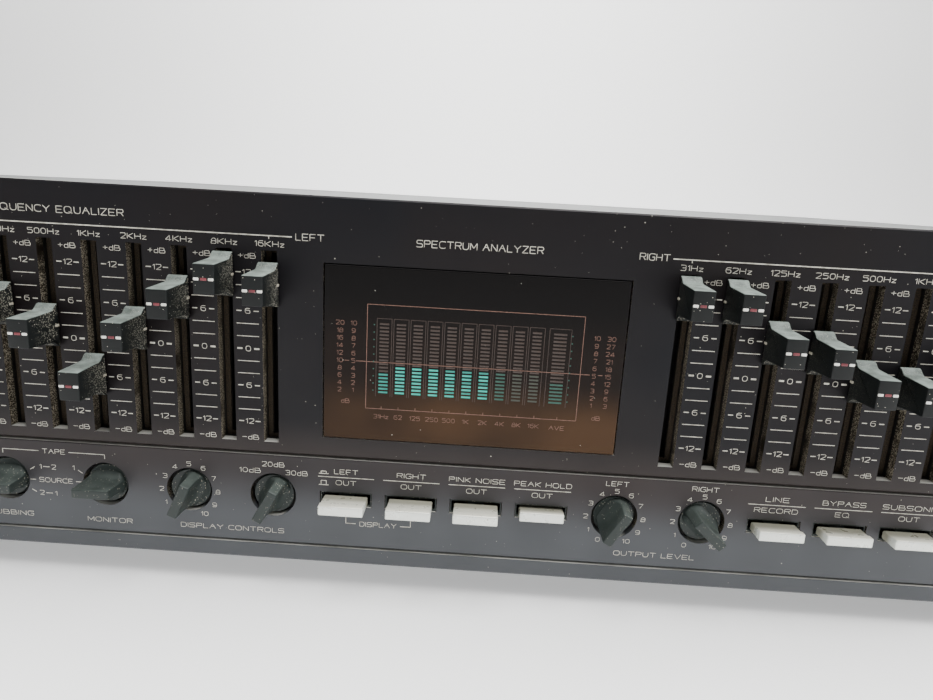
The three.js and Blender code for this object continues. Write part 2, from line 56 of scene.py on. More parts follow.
BANDS = ["31hz", "62hz", "125hz", "250hz", "500hz", "1khz", "2khz", "4khz", "8khz", "16khz"]
SIDES = ["left", "right"]
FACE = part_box("upper_fascia")[0].y / MM      # the panel's front face, in mm

# %% [markdown]
# ## Camera
# The viewer stands close to the middle of the panel, with the eye just above its top edge, and looks
# down a little with a wide lens. Three turns set that: to the left, down, and a slight roll.

# %% Camera
EYE = (1.64, FACE - 187.5, 125.3)            # mm
TURN_LEFT, LOOK_DOWN, ROLL = 1.11, 13.28, 3.21
SENSOR, FOCAL_LENGTH = 36, 25.54             # mm
camera = bpy.data.objects.new("camera", bpy.data.cameras.new("camera"))
bpy.context.scene.collection.objects.link(camera)
camera.matrix_world = (Matrix.Translation(Vector(EYE) * MM)
                       @ Matrix.Rotation(math.radians(TURN_LEFT), 4, "Z")
                       @ Matrix.Rotation(math.radians(90 - LOOK_DOWN), 4, "X")
                       @ Matrix.Rotation(math.radians(ROLL), 4, "Z"))
camera.data.sensor_width = SENSOR
camera.data.lens = FOCAL_LENGTH
camera.data.clip_start = 0.01
bpy.context.scene.camera = camera
print("camera at", [round(v, 3) for v in camera.location])

# %% [markdown]
# ## Surfaces from arrays
# Every new piece is a stack of rings: an outline is carried from station to station and skinned with
# quads. The outline's corners are rounded with short curves, because a moulding has no sharp edge, and
# it is the thin highlight on that edge that makes a plastic piece look real.

# %% Outlines and rings
def rounded(corners, radius, steps=3):
    """An outline whose corners are quadratic curves: (1-t)^2 a + 2t(1-t) c + t^2 b, where c is the corner
    and a and b lie at the given radius from it on its two sides, or at 0.45 of a shorter side."""
    corners = np.asarray(corners, float)
    back = np.roll(corners, 1, 0) - corners
    ahead = np.roll(corners, -1, 0) - corners
    back_length = np.linalg.norm(back, axis=1)
    ahead_length = np.linalg.norm(ahead, axis=1)
    reach = np.minimum(radius, 0.45 * np.minimum(back_length, ahead_length))[:, None]
    a = (corners + back / back_length[:, None] * reach)[:, None]
    b = (corners + ahead / ahead_length[:, None] * reach)[:, None]
    t = np.linspace(0, 1, steps + 1)[None, :, None]
    return ((1 - t) ** 2 * a + 2 * t * (1 - t) * corners[:, None] + t ** 2 * b).reshape(-1, 2)


def rounded_ends(start, end, radius):
    """Stations from start to end, and the inset at each: both ends are quarter circles of the radius, so
    the inset is r(1 - sin q) where the station is r(1 - cos q) from the end."""
    q = np.linspace(0, math.pi / 2, 4)
    step = radius * (1 - np.cos(q)) * np.sign(end - start)
    inset = radius * (1 - np.sin(q))
    return np.concatenate([start + step, end - step[::-1]]), np.concatenate([inset, inset[::-1]])


def carried(outline, stations, insets):
    """Rings [station, point, 3] of an outline (u, v), each drawn in along the outline's normals."""
    tangent = np.roll(outline, -1, 0) - np.roll(outline, 1, 0)
    normal = np.stack([tangent[:, 1], -tangent[:, 0]], 1)
    normal /= np.linalg.norm(normal, axis=1)[:, None]
    area = np.sum(outline[:, 0] * np.roll(outline[:, 1], -1) - outline[:, 1] * np.roll(outline[:, 0], -1))
    flat = outline[None] - np.sign(area) * insets[:, None, None] * normal[None]
    along = np.broadcast_to(stations[:, None, None], (*flat.shape[:2], 1))
    return np.concatenate([flat, along], 2)


def turned(radii, depths, sides):
    """Rings of a turned piece about the Y axis: x = r cos q, z = r sin q at each depth."""
    q = np.linspace(0, 2 * math.pi, sides, endpoint=False)
    r = np.asarray(radii, float)[:, None]
    y = np.broadcast_to(np.asarray(depths, float)[:, None], (len(radii), sides))
    return np.stack([r * np.cos(q), y, r * np.sin(q)], 2)


def rings_of_boxes(half, low, high, radius, depths, steps=3):
    """Rings of a rounded box along Y whose half width, lowest and highest z change with the depth. Each
    corner is a quarter circle: centre + r (cos q, sin q)."""
    half, low, high, radius, depths = np.broadcast_arrays(*[np.asarray(v, float) for v in
                                                           (half, low, high, radius, depths)])
    q = np.concatenate([np.linspace(0, 90, steps + 1) + 90 * k for k in range(4)]) * math.pi / 180
    side = np.repeat([1, -1, -1, 1], steps + 1)
    top = np.repeat([1, 1, 0, 0], steps + 1)
    r = radius[:, None]
    x = side * (half[:, None] - r) + r * np.cos(q)
    z = np.where(top, high[:, None] - r, low[:, None] + r) + r * np.sin(q)
    return np.stack([x, np.broadcast_to(depths[:, None], x.shape), z], 2)


print("an 8 mm square with 1 mm corners has", len(rounded([(0, 0), (8, 0), (8, 8), (0, 8)], 1)), "points")


# %% Shells and pieces
def skin(rings, looped=False):
    """Points and faces of a stack of rings. The ends are closed with one face each, unless it is looped."""
    count, around = rings.shape[:2]
    turns = count if looped else count - 1
    i = np.arange(turns)[:, None] * around
    following = (i + around) % (count * around)
    j = np.arange(around)[None]
    k = (j + 1) % around
    quads = np.stack(np.broadcast_arrays(i + j, i + k, following + k, following + j), -1).reshape(-1, 4)
    faces = quads.tolist()
    if not looped:
        faces += [list(range(around)), list(range((count - 1) * around, count * around))]
    return rings.reshape(-1, 3), faces


def moved(shell, x=0, y=0, z=0, angle=0):
    """A shell turned clockwise about Y, as seen from the front, and then moved."""
    points, faces = shell
    a = math.radians(angle)
    turn = np.array([[math.cos(a), 0, -math.sin(a)], [0, 1, 0], [math.sin(a), 0, math.cos(a)]])
    return points @ turn + (x, y, z), faces


def together(shells):
    """Several shells as one list of points and one list of faces."""
    starts = np.cumsum([0] + [len(points) for points, _ in shells])
    faces = [[v + int(start) for v in face] for (_, part), start in zip(shells, starts) for face in part]
    return np.concatenate([points for points, _ in shells]), faces


SHARP = math.radians(32)                     # an edge that turns by more stays sharp


def piece(name, shells, material, body, replaces=()):
    """An object from shells in panel millimetres (x, depth behind the face, z), riding on a body."""
    points, faces = together(shells)
    mesh = bpy.data.meshes.new(name)
    mesh.from_pydata(((points + (0, FACE, 0)) * MM).tolist(), [], faces)
    thing = bpy.data.objects.new(name, mesh)
    bpy.context.scene.collection.objects.link(thing)
    face_outwards(mesh)
    mesh.polygons.foreach_set("use_smooth", [True] * len(mesh.polygons))
    mesh.set_sharp_from_angle(angle=SHARP)
    mesh.materials.append(material)
    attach(thing, body)
    if replaces:
        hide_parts(*replaces)


def face_outwards(mesh):
    """Turns the faces of every closed shell outwards."""
    work = bmesh.new()
    work.from_mesh(mesh)
    bmesh.ops.recalc_face_normals(work, faces=work.faces)
    work.to_mesh(mesh)
    work.free()


# %% [markdown]
# ## Materials
# One function adds a node, and one starts a material from its colour, roughness and metal. Each finish
# below then adds the pattern its real surface has, at a size in millimetres.

# %% Material helpers
def linear(colour):
    """An sRGB hex colour as linear red, green, blue and alpha."""
    srgb = np.array([int(colour[i:i + 2], 16) for i in (1, 3, 5)]) / 255
    value = np.where(srgb <= 0.04045, srgb / 12.92, ((srgb + 0.055) / 1.055) ** 2.4)
    return (*value.tolist(), 1.0)


def node(tree, kind, inputs=None, **settings):
    """Adds a node with its settings; an input is a value, or a socket to link."""
    made = tree.nodes.new(kind)
    for key, value in settings.items():
        setattr(made, key, value)
    for key, value in (inputs or {}).items():
        if isinstance(value, bpy.types.NodeSocket):
            tree.links.new(value, made.inputs[key])
        else:
            made.inputs[key].default_value = value
    return made


def finish(name, colour, roughness, **sockets):
    """A material with one Principled shader. Returns it with its tree, shader and place in the object."""
    material = bpy.data.materials.new(name)
    material.use_nodes = True
    tree = material.node_tree
    tree.nodes.clear()
    shader = node(tree, "ShaderNodeBsdfPrincipled", {"Base Color": linear(colour), "Roughness": roughness,
                                                     **{k.replace("_", " "): v for k, v in sockets.items()}})
    node(tree, "ShaderNodeOutputMaterial", {"Surface": shader.outputs[0]})
    place = node(tree, "ShaderNodeTexCoord").outputs["Object"]
    return material, tree, shader, place


def coats(tree, ground, *layers):
    """Lays colours over a ground, each by its mask. A colour is a hex value or a socket."""
    for mask, colour in layers:
        pick = [linear(c) if isinstance(c, str) else c for c in (ground, colour)]
        ground = node(tree, "ShaderNodeMix", {0: mask, 6: pick[0], 7: pick[1]}, data_type="RGBA").outputs[2]
    return ground


def facing(tree, axis, low, high):
    """A mask of the surface that faces along an axis: 0 below low and 1 above high, of the normal's part."""
    normal = node(tree, "ShaderNodeTexCoord").outputs["Normal"]
    parts = node(tree, "ShaderNodeSeparateXYZ", {"Vector": normal})
    limits = {"From Min": low, "From Max": high}
    return node(tree, "ShaderNodeMapRange", {"Value": parts.outputs[axis], **limits}).outputs[0]


def ramp(tree, place, axis, start, end):
    """0 at one place along an axis and 1 at another, in mm."""
    parts = node(tree, "ShaderNodeSeparateXYZ", {"Vector": place})
    limits = {"From Min": start * MM, "From Max": end * MM}
    return node(tree, "ShaderNodeMapRange", {"Value": parts.outputs[axis], **limits},
                interpolation_type="SMOOTHSTEP").outputs[0]


def lumps(tree, place, size, low, high, detail=3.0, reach=(0.0, 1.0)):
    """Noise with lumps of a size in mm, stretched so that low and high become the ends of a reach."""
    noise = node(tree, "ShaderNodeTexNoise", {"Vector": place, "Scale": 1000 / size, "Detail": detail})
    limits = {"From Min": low, "From Max": high, "To Min": reach[0], "To Max": reach[1]}
    return node(tree, "ShaderNodeMapRange", {"Value": noise.outputs["Fac"], **limits}).outputs[0]


def specks(tree, place, cell, size, cover, patch):
    """A mask of scattered specks: one may lie in each cell of a Voronoi pattern (mm), of a size given as
    a share of the cell. Cover is the share of cells that have one; noise gathers them in patches."""
    cells = node(tree, "ShaderNodeTexVoronoi", {"Vector": place, "Scale": 1000 / cell})
    edge = {"From Min": size, "From Max": size * 0.55}
    dot = node(tree, "ShaderNodeMapRange", {"Value": cells.outputs["Distance"], **edge},
               interpolation_type="SMOOTHSTEP")
    gather = lumps(tree, place, patch, 0.35, 0.7, 3.0, (0.1 * cover, 1.7 * cover))
    lot = node(tree, "ShaderNodeSeparateColor", {"Color": cells.outputs["Color"]})
    chosen = node(tree, "ShaderNodeMath", {0: lot.outputs[0], 1: gather}, operation="LESS_THAN")
    both = node(tree, "ShaderNodeMath", {0: dot.outputs[0], 1: chosen.outputs[0]}, operation="MULTIPLY")
    return both.outputs[0]


def grain(tree, shader, place, size, height):
    """Bumps the surface with noise whose lumps are size mm wide and height mm high."""
    noise = node(tree, "ShaderNodeTexNoise", {"Vector": place, "Scale": 1000 / size, "Detail": 2.0})
    bump = node(tree, "ShaderNodeBump", {"Height": noise.outputs["Fac"], "Distance": height * MM,
                                         "Strength": 0.6})
    tree.links.new(bump.outputs[0], shader.inputs["Normal"])


print("charcoal in linear light:", [round(v, 4) for v in linear("#2a282c")])

# %% [markdown]
# ## The front's coatings
# The panel is extruded aluminium with a satin charcoal coating: dark, with a soft sheen, and so even that
# dust shows on it as single bright specks. The slots are punched through it, and their walls hold brown
# dust from the felt behind, so the pattern turns brown where a wall faces sideways.

# %% Charcoal and blue-grey coatings on aluminium
DUST = "#a9a69a"


def coated_aluminium(name, colour, shade, floor_reflection_colour, low_z, high_z):
    """Satin coating. Its colour drifts to a warmer shade, and turns lighter towards its lower edge, which is
    a painted reflection of the pale floor. Walls that face sideways hold dust, edges that face up carry a
    painted highlight, and specks lie all over."""
    material, tree, shader, place = finish(name, colour, 0.45, Metallic=0.2, Specular_IOR_Level=0.2)
    wall = node(tree, "ShaderNodeMath", {0: facing(tree, 0, 0.85, 0.95), 1: facing(tree, 0, -0.85, -0.95)},
                operation="ADD").outputs[0]
    fluff = coats(tree, "#1f1911", (lumps(tree, place, 0.35, 0.48, 0.62, 4.0), "#a39a88"))
    dusty_wall = coats(tree, "#1c1711", (lumps(tree, place, 9, 0.33, 0.5), fluff))
    # Edges that face up get #c3c2bb, a painted highlight of the light from above.
    # The ramp to the lighter lower colour is a painted reflection of the pale floor.
    ground = coats(tree, colour, (lumps(tree, place, 60, 0.35, 0.65), shade),
                   (ramp(tree, place, 2, high_z, low_z), floor_reflection_colour), (wall, dusty_wall),
                   (facing(tree, 2, 0.8, 0.95), "#c3c2bb"))
    for cell, size, cover, patch in ((2.6, 0.06, 0.4, 30), (1.2, 0.08, 0.14, 18), (7, 0.035, 0.6, 60)):
        ground = coats(tree, ground, (specks(tree, place, cell, size, cover, patch), DUST))
    tree.links.new(ground, shader.inputs["Base Color"])
    tree.links.new(lumps(tree, place, 25, 0.3, 0.7, 4.0, (0.36, 0.52)), shader.inputs["Roughness"])
    return material


# The fourth colour of each coating is its painted reflection, lighter towards its lower edge.
charcoal = coated_aluminium("charcoal_coated_aluminium", "#0f0f13", "#151112", "#2b2625", 45, 58)
blue_grey = coated_aluminium("blue_grey_coated_aluminium", "#2d2a2b", "#312b2a", "#494b4e", 22, 42)
print("front coatings:", charcoal.name, blue_grey.name)

# %% [markdown]
# ## Mouldings
# Caps and knobs are ABS with a fine spark-eroded texture: dark, dull in front, and grey on top, partly
# from dust and partly from painted light above. Dust lies in the texture. The buttons are ABS with a
# thin silver-ivory lacquer.

# %% Moulded plastics
def moulded(name, colour, roughness, dusty, top_dust_and_light, single):
    """Textured ABS. What faces up turns grey, partly from dust and partly from painted light from above.
    Dust lies in patches, thicker near the panel and on sides that face right, where it also stands for
    painted light from the right.
    """
    material, tree, shader, place = finish(name, colour, roughness, Specular_IOR_Level=0.22)
    # Patches weigh more on sides that face right: partly dust, partly painted light from the right.
    near = node(tree, "ShaderNodeMath", {0: ramp(tree, place, 1, FACE - 14, FACE - 2),
                                         1: facing(tree, 0, -1.3, 0.8)}, operation="MULTIPLY").outputs[0]
    patches = node(tree, "ShaderNodeMath", {0: near, 1: specks(tree, place, 0.5, 0.42, dusty, 4)},
                   operation="MULTIPLY").outputs[0]
    # The grey layer on what faces up is partly dust and partly painted light from above.
    layer = lumps(tree, place, 3.5, 0.35, 0.65, 3.0, (0.5 * top_dust_and_light, top_dust_and_light))
    dust_and_top_light = node(tree, "ShaderNodeMath", {0: facing(tree, 2, 0.35, 0.8), 1: layer},
                operation="MULTIPLY").outputs[0]
    ground = coats(tree, colour, (patches, "#9a978a"), (dust_and_top_light, "#8d9891"),
                   (specks(tree, place, 1.0, 0.13, single, 9), "#c2bfb2"))
    tree.links.new(ground, shader.inputs["Base Color"])
    grain(tree, shader, place, 0.25, 0.012)
    return material


cap_plastic = moulded("textured_black_abs", "#0e1111", 0.5, 2.6, 0.85, 0.5)
knob_plastic = moulded("textured_olive_black_abs", "#2a302e", 0.36, 0.2, 0.2, 0.2)
black_plastic = moulded("plain_black_abs", "#0e0e0f", 0.5, 0.05, 0.3, 0.3)


def lacquered_ivory():
    """Silver-ivory lacquer: partly metal, with dirt in its scratches. Its top is tinted a warmer cream, a
    painted reflection, and it greys near the panel, a painted shade.
    """
    material, tree, shader, place = finish("silver_ivory_lacquer", "#f2f1ea", 0.3, Metallic=0.25)
    # The grey near the panel is a painted shade cast by the panel.
    # The warmer cream on what faces up is a painted reflection.
    ground = coats(tree, "#e2e5dd", (facing(tree, 2, 0.5, 0.9), "#ebeadb"),
                   (ramp(tree, place, 1, FACE - 4.5, FACE - 1.5), "#a5a392"),
                   (specks(tree, place, 0.45, 0.3, 0.16, 4), "#b9b6a8"),
                   (specks(tree, place, 2.4, 0.12, 0.25, 6), "#6d6553"))
    tree.links.new(ground, shader.inputs["Base Color"])
    tree.links.new(lumps(tree, place, 3, 0.3, 0.7, 4.0, (0.24, 0.42)), shader.inputs["Roughness"])
    return material


ivory = lacquered_ivory()
print("mouldings:", cap_plastic.name, knob_plastic.name, ivory.name)

# %% [markdown]
# ## Printing inks and inlays
# The legends are screen printed in a cream ink that has greyed. The display's own print lies on smoked
# acrylic and looks a dull pinkish brown. Inks lie a few hundredths of a millimetre proud.

# %% Inks
def ink(name, colour, worn):
    """Screen-printing ink: matt, and a little uneven where it is worn."""
    material, tree, shader, place = finish(name, colour, 0.6)
    ground = coats(tree, colour, (lumps(tree, place, 1.5, 0.42, 0.68), worn))
    tree.links.new(ground, shader.inputs["Base Color"])
    return material


cream_ink = ink("cream_screen_ink", "#cbc8bb", "#9f9b90")
brown_ink = ink("smoked_cream_ink", "#7d5a4c", "#64463a")
faint_ink = ink("faint_brown_ink", "#382820", "#2b1f19")
white_inlay = ink("white_inlay", "#e9e8e2", "#cfcdc2")
red_inlay = ink("red_inlay", "#742f35", "#5a252b")
print("inks made")

# %% [markdown]
# ## Metals, boards and the rest
# These are steel, plated, blackened or painted, phenolic board, felt, rubber, varnished laminations and
# brass. Most lie inside, and still carry their own grain.

# %% Metals, boards and felt
def plain(name, colour, roughness, size, second, height=0.01, **sockets):
    """A finish whose colour wanders to a second one over lumps of the given size in mm."""
    material, tree, shader, place = finish(name, colour, roughness, **sockets)
    ground = coats(tree, colour, (lumps(tree, place, size, 0.35, 0.65, 4.0), second))
    tree.links.new(ground, shader.inputs["Base Color"])
    grain(tree, shader, place, size, height)
    return material


zinc = plain("zinc_plated_steel", "#8f9193", 0.38, 2.5, "#a5a7a8", Metallic=1.0)      # dull silver bloom
dark_steel = plain("blackened_steel", "#1c1b1a", 0.55, 2.5, "#262422", Metallic=0.5)  # dark behind slots
cover_paint = plain("hammered_charcoal_paint", "#4b4e4d", 0.4, 0.9, "#585b5a", 0.04)  # pebbled sheen
board = plain("phenolic_board", "#6b5a34", 0.6, 4, "#5b4c2c")                         # matt brown
felt = plain("brown_felt", "#17120c", 0.95, 0.4, "#3d3222", 0.2)                      # fuzzy, no gloss
rubber = plain("moulded_rubber", "#1b1b1b", 0.75, 0.5, "#232323", 0.02)               # soft black
laminations = plain("varnished_laminations", "#4a4038", 0.45, 0.5, "#2e2823", Metallic=0.4)
sleeve = plain("shrunk_sleeve", "#20242c", 0.35, 6, "#2a2f38")                        # taut blue-black film
brass = plain("nickelled_brass", "#b9b4a6", 0.28, 1.2, "#a39d8d", Metallic=1.0)       # warm silver
red_plastic = plain("red_polythene", "#8c1f1c", 0.4, 1.0, "#7a1917")                  # waxy red
white_plastic = plain("white_polythene", "#cfccc2", 0.4, 1.0, "#bdb9ad")              # waxy white
nylon = plain("aged_nylon", "#b5b0a0", 0.5, 0.5, "#8f8a7a")                           # yellowed grey
print("metals and others made")

# %% [markdown]
# ## Smoked acrylic and phosphor
# The real window lets through so little light that its inside only shows where the tube glows. A pane
# that lets light through would be truer, but renders with noise, so the pane is solid, dark and glossy.

# %% Smoked acrylic and phosphor
def smoked_acrylic():
    """Brown acrylic so dark that the inside hardly shows, polished and coated against glare. Towards the
    bottom it turns a warmer, lighter brown in lumps, a painted reflection; it is darker towards the top,
    and has a few specks."""
    material, tree, shader, place = finish("smoked_acrylic", "#17110e", 0.05, IOR=1.49,
                                           Specular_IOR_Level=0.08)
    # Painted reflection: a warmer, lighter brown in lumps, faded in towards the bottom of the pane.
    low_reflection = coats(tree, "#221811", (lumps(tree, place, 60, 0.35, 0.6), "#422f1f"))
    ground = coats(tree, "#17100d", (ramp(tree, place, 2, 74, 59), low_reflection),
                   (ramp(tree, place, 2, 78, 96), "#090707"),
                   (specks(tree, place, 3.0, 0.05, 0.4, 30), "#d9d6ca"))
    tree.links.new(ground, shader.inputs["Base Color"])
    return material


def phosphor(name, colour, second, strength):
    """Phosphor of a fluorescent tube in two close tones: a blue-green glow when driven. An undriven bar
    glows a dull brown, painted light that stands in for the lamp light it sends back.
    """
    material, tree, shader, place = finish(name, "#14100d", 0.6)
    glow = coats(tree, colour, (lumps(tree, place, 1.3, 0.35, 0.65), second))
    tree.links.new(glow, shader.inputs["Emission Color"])
    shader.inputs["Emission Strength"].default_value = strength
    return material


acrylic = smoked_acrylic()
phosphors = {
    "bright": phosphor("phosphor_bright", "#00ecd4", "#00d0bc", 0.9),
    "even": phosphor("phosphor_even", "#00c0ae", "#00a898", 0.8),
    "dim": phosphor("phosphor_dim", "#2a7a68", "#246a5a", 0.6),
    "faint": phosphor("phosphor_faint", "#56604f", "#4a5244", 0.5),
    # An undriven bar glows dull brown: painted light for the lamp light it sends back.
    "off": phosphor("phosphor_off_painted_glow", "#5e4336", "#4c362b", 0.45),
}
tube_glass = plain("dark_tube_glass", "#0d0b0a", 0.2, 8, "#120f0d")
print("window and phosphors made")

# %% [markdown]
# ## Carried-over CAD pieces
# Flat and folded pieces already have the right shape, so they keep their CAD mesh and get a material.
# The ones at the front are seen from close by: a copy of each is merged, its flat faces are joined, and a
# Bevel modifier breaks the edges by a few tenths, as tumbling or a press does.

# %% Materials on the CAD nodes
def eased(node_name, width, material):
    """A merged copy of a CAD node, with its edges broken, which stands for the node."""
    source = frame["nodes"][node_name]
    mesh = source.data.copy()
    work = bmesh.new()
    work.from_mesh(mesh)
    bmesh.ops.remove_doubles(work, verts=work.verts, dist=1e-6)
    bmesh.ops.dissolve_limit(work, angle_limit=math.radians(1), verts=work.verts, edges=work.edges)
    work.to_mesh(mesh)
    work.free()
    mesh.materials.clear()
    mesh.materials.append(material)
    thing = bpy.data.objects.new(node_name + "_eased", mesh)
    bpy.context.scene.collection.objects.link(thing)
    mesh.polygons.foreach_set("use_smooth", [True] * len(mesh.polygons))
    mesh.set_sharp_from_angle(angle=math.radians(30))
    bevel = thing.modifiers.new("broken_edges", "BEVEL")
    bevel.width = width * MM
    bevel.segments = 2
    bevel.limit_method = "ANGLE"
    bevel.angle_limit = math.radians(30)
    bevel.harden_normals = True
    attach(thing, "case")
    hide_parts(node_name)


def repaint(material, *names):
    """Gives CAD nodes a finish in place of their flat colour."""
    for name in names:
        for place in frame["nodes"][name].material_slots:
            place.material = material


eased("upper_fascia", 0.22, charcoal)
eased("lower_fascia", 0.18, blue_grey)
eased("bottom_rail", 0.25, blue_grey)
eased("display_window", 0.3, acrylic)
eased("top_cover", 0.3, cover_paint)
eased("rear_panel", 0.2, cover_paint)
repaint(felt, "dust_seal_left", "dust_seal_right")
repaint(zinc, "chassis_tray")
repaint(dark_steel, "front_subpanel", "slider_bank_left", "slider_bank_right")
repaint(board, "display_board", "control_board", "main_board")
repaint(tube_glass, "display_tube")
repaint(laminations, "power_transformer")
repaint(sleeve, "capacitor_left", "capacitor_right")
repaint(black_plastic, "jack_block", "mains_inlet")
repaint(rubber, "foot_front_left", "foot_front_right", "foot_rear_left", "foot_rear_right")
print("CAD nodes finished:", len(frame["nodes"]))

# %% [markdown]
# ## Slider caps
# Each cap is a block, lower in front, whose top and bottom flare into a taller foot near the panel. It
# could be a bevelled box, but the flare and the soft edges are one outline in the side view, carried
# across the cap's width with rounded ends. Two white bars and a red one are let into its front as the
# index, and the steel lever goes through the felt to the wiper.

# %% Slider caps
CAP_HALF_WIDTH = 2.9
CAP_FRONT = -14.45
POT_DEPTH = 6.2


def cap_shell():
    """Side outline (depth, z): front face, gentle slope, flare, foot; corners rounded by 0.2 to 0.8 mm."""
    upper = [(CAP_FRONT, 4.15), (-3.3, 4.65), (-1.75, 6.15), (-0.8, 6.4)]
    lower = [(depth, -z) for depth, z in reversed(upper)]
    outline = rounded(lower + upper, np.array([0.2, 0.5, 0.8, 0.35, 0.35, 0.8, 0.5, 0.2]), 4)
    stations, insets = rounded_ends(-CAP_HALF_WIDTH, CAP_HALF_WIDTH, 0.3)
    rings = carried(outline, stations, insets)
    return skin(rings[:, :, [2, 0, 1]])


def bar_shell(half_width, half_height, front, back, radius):
    """A small bar standing along Y: a rounded box whose front edge is drawn in by its radius."""
    depths = np.array([back, front + radius, front + 0.35 * radius, front])
    draw = np.array([0, 0, 0.2, 0.7]) * radius
    return skin(rings_of_boxes(half_width - draw, -half_height + draw, half_height - draw, radius, depths))


cap = cap_shell()
tab = bar_shell(0.8, 0.35, 0, 0.5, 0.12)
TAB_REACH, TAB_DEPTH = 3.12, -1.75           # of the small nylon tabs at a cap's sides
tabs = [(np.stack([s * (TAB_REACH - tab[0][:, 1]), tab[0][:, 0] + TAB_DEPTH, tab[0][:, 2]], 1), tab[1])
        for s in (-1, 1)]
white_bar = bar_shell(0.74, 0.38, -14.6, CAP_FRONT + 0.4, 0.2)
red_bar = bar_shell(0.88, 0.38, -14.56, CAP_FRONT + 0.4, 0.16)
lever = bar_shell(0.5, 2.4, -1.6, POT_DEPTH + 2.6, 0.15)
wiper = moved(bar_shell(2.7, 3.5, 0, 5.2, 0.4), y=POT_DEPTH + 1.4)

SLIDERS = {}
for side in SIDES:
    for band in BANDS:
        name = f"slider_{side}_{band}"
        low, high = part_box(name)
        x, z = (low.x + high.x) / 2 / MM, (low.z + high.z) / 2 / MM
        SLIDERS[name] = (x, z)
        piece(name + "_cap", [moved(cap, x, 0, z)], cap_plastic, name, [name])
        piece(name + "_tabs", [moved(s, x, 0, z) for s in tabs], nylon, name)
        piece(name + "_white_bars", [moved(white_bar, x + s * 2.0, 0, z) for s in (-1, 1)], white_inlay,
              name)
        piece(name + "_red_bar", [moved(red_bar, x, 0, z)], red_inlay, name)
        piece(name + "_lever", [moved(s, x, 0, z) for s in (lever, wiper)], zinc, name)
print("slider caps:", len(SLIDERS))

# %% [markdown]
# ## Knobs
# A knob is a disc, sunk in the panel's round hole, with one straight grip across it that sweeps out into
# the disc at its foot. The disc is turned. The grip is a stack of rounded boxes that widens at the foot as
# e to the minus depth, which gives the small fillet a moulding has there.

# %% Knobs
KNOB_ANGLES = {"tape_dubbing": 90, "tape_monitor": -90, "display_level": -156, "display_range": -152,
               "output_left": -150, "output_right": 132}
KNOB_TURNS = {j["child"]: j["pos_m"] for j in frame["record"]["behaviour"]["joints"] if j["type"] == "hinge"}
SINK = 1.1


def disc_shell():
    """Turned profile (radius, depth): flat back, side, a rim 0.2 mm wide, and a face dished by 0.15 mm."""
    return skin(turned([0.4, 5.9, 6.2, 6.25, 6.25, 6.18, 6.0, 5.7, 5.4, 3.0, 0.4],
                       [3.0, 3.0, 2.85, 2.6, 1.5, 1.2, 1.1, 1.12, 1.22, 1.25, 1.25], 64))


def grip_shell():
    """Rounded boxes from the front to the disc. With t the height above the disc, the half width is
    1.5 + 2.5 e^(-t/1.3), and the corners round off by as much, so the foot stays inside the disc."""
    t = np.array([9.1, 9.05, 8.9, 8.6, 6.5, 4.5, 3.2, 2.3, 1.6, 1.0, 0.6, 0.3, 0.0, -0.3])
    draw = np.array([0.42, 0.22, 0.07] + [0] * 11)
    widen = 2.5 * np.exp(-np.maximum(t, 0) / 1.3)
    high = 6.05 + 0.2 * t / 9.1 - draw
    low = -5.9 + 1.0 * t / 9.1 + draw
    half = 1.5 + widen - draw
    return skin(rings_of_boxes(half, low, high, 0.35 + 1.3 * widen, SINK - t, 5))


disc = disc_shell()
grip = grip_shell()
shaft = skin(turned([2.6, 3.0, 3.0, 2.6], [2.6, 3.0, 15.6, 16.0], 32))
KNOBS = {}
for name, angle in KNOB_ANGLES.items():
    body = "knob_" + name
    x, z = KNOB_TURNS[body][0] / MM, KNOB_TURNS[body][2] / MM
    KNOBS[name] = (x, z)
    mouldings = [moved(s, x, 0, z, angle) for s in (disc, grip)]
    piece(body + "_moulding", mouldings, knob_plastic, body, [body])
    piece(body + "_shaft", [moved(shaft, x, 0, z, angle)], brass, body)
print("knobs:", list(KNOBS))

# %% [markdown]
# ## Push buttons
# The button is a thin bar with soft corners, thicker at its front third, in a dark frame that lines the
# hole. The three right ones stand out less. The frame is one small profile carried round a rectangle.

# %% Push buttons and their frames
BUTTONS = ["power", "display_left", "display_right", "pink_noise", "peak_hold", "record", "bypass",
           "subsonic"]


def button_shell(front, back):
    """A bar 13.4 mm wide from one depth to another; its top is 0.45 mm higher over the front third, and
    its front edge is rounded by 0.3 mm."""
    depths = front + (back - front) * np.array([0, 0, 0, 0, 0.31, 0.36, 0.41, 1])
    depths[1:4] += [0.04, 0.2, 0.32]
    draw = np.array([0.34, 0.26, 0.06, 0, 0, 0, 0, 0])
    top = np.array([1.5, 1.5, 1.5, 1.5, 1.45, 1.25, 1.05, 1.0])
    return skin(rings_of_boxes(6.7 - draw, -1.5 + draw, top - draw, 0.35, depths))


def frame_shell(half_x, half_z, wall, front, back):
    """A wall carried round a rectangle with rounded corners: inner and outer outline at two depths."""
    outer = rounded([(-half_x, -half_z), (half_x, -half_z), (half_x, half_z), (-half_x, half_z)], 0.4)
    inner = rounded([(-half_x + wall, -half_z + wall), (half_x - wall, -half_z + wall),
                     (half_x - wall, half_z - wall), (-half_x + wall, half_z - wall)], 0.25)
    ring = [np.column_stack([o[:, 0], np.full(len(o), d), o[:, 1]]) for o, d in
            ((outer, back), (outer, front + 0.08), (outer * 0.995, front), (inner * 1.01, front),
             (inner, front + 0.08), (inner, back))]
    return skin(np.stack(ring), looped=True)


